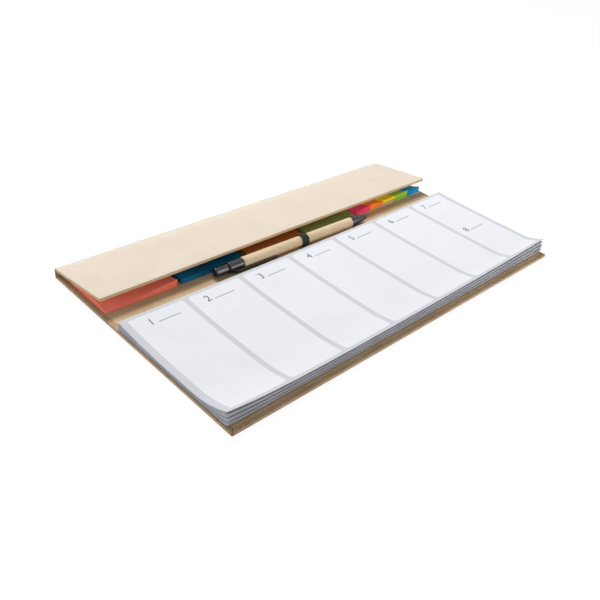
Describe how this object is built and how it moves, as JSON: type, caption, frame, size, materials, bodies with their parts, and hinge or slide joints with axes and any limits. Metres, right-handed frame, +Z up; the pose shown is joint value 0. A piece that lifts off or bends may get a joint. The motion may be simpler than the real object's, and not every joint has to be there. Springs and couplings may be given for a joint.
{
  "type": "weekly desk planner",
  "caption": "Kraft paper case that opens over a long weekly planner pad, with sticky notes and page flags under its flap and a retractable pen in an elastic loop.",
  "frame": {"origin": "on the desk, under the middle of the closed case's footprint", "axes": "+X along the case's long side, +Y towards the spine at the back, +Z up"},
  "size_m": [0.297, 0.1684, 0.0138],
  "materials": {
    "kraft_paper": "matte, pale kraft with fine fibres",
    "kraft_lining": "matte, brown kraft with fine fibres",
    "grey_board": "matte, recycled grey board",
    "pad_paper": "matte, white writing paper with a pale grey printed frame",
    "coral_paper": "matte",
    "deep_blue_paper": "matte",
    "light_orange_paper": "matte",
    "olive_green_paper": "matte",
    "backing_card": "matte white card",
    "pink_paper": "matte",
    "orange_paper": "matte",
    "yellow_paper": "matte",
    "lime_paper": "matte",
    "sky_blue_paper": "matte",
    "black_elastic": "woven elastic tape",
    "kraft_tube": "matte rolled kraft tube",
    "black_plastic": "semi-gloss moulded",
    "cam_plastic": "matte moulded",
    "refill_plastic": "smooth tube",
    "tip_brass": "turned",
    "spring_steel": "drawn wire"
  },
  "bodies": {
    "base": {"base_cover_paper": "kraft_paper", "base_board": "grey_board", "base_lining_paper": "kraft_lining", "planner_pad": "pad_paper", "note_pad_coral": "coral_paper", "note_pad_blue": "deep_blue_paper", "note_pad_orange": "light_orange_paper", "note_pad_green": "olive_green_paper", "flag_backing_card": "backing_card", "flag_pad_pink": "pink_paper", "flag_pad_orange": "orange_paper", "flag_pad_yellow": "yellow_paper", "flag_pad_green": "lime_paper", "flag_pad_blue": "sky_blue_paper", "pen_loop": "black_elastic", "pen_barrel": "kraft_tube", "pen_cap_and_clip": "black_plastic", "pen_nose_cone": "black_plastic", "pen_spring": "spring_steel"},
    "spine": {"spine_cover_paper": "kraft_paper", "spine_board": "grey_board", "spine_lining_paper": "kraft_lining"},
    "flap": {"flap_cover_paper": "kraft_paper", "flap_board": "grey_board", "flap_lining_paper": "kraft_lining"},
    "pen_plunger": {"pen_button": "black_plastic", "pen_cam": "cam_plastic", "pen_refill_tube": "refill_plastic", "pen_refill_tip": "tip_brass"}
  },
  "joints": [
    {"name": "spine_fold", "type": "hinge", "parent": "base", "child": "spine", "pos_m": [0, 0.08315, 0.001], "axis": [-1, 0, 0], "range_deg": [0, 90]},
    {"name": "flap_fold", "type": "hinge", "parent": "spine", "child": "flap", "pos_m": [0, 0.08315, 0.0062], "axis": [-1, 0, 0], "range_deg": [-3, 82.5]},
    {"name": "pen_click", "type": "slide", "parent": "base", "child": "pen_plunger", "axis": [0.9998, -0.0188, 0], "range_m": [0, 0.0055], "stiffness_N_per_m": 150, "springref_m": -0.004, "deforming": ["pen_spring"]}
  ]
}
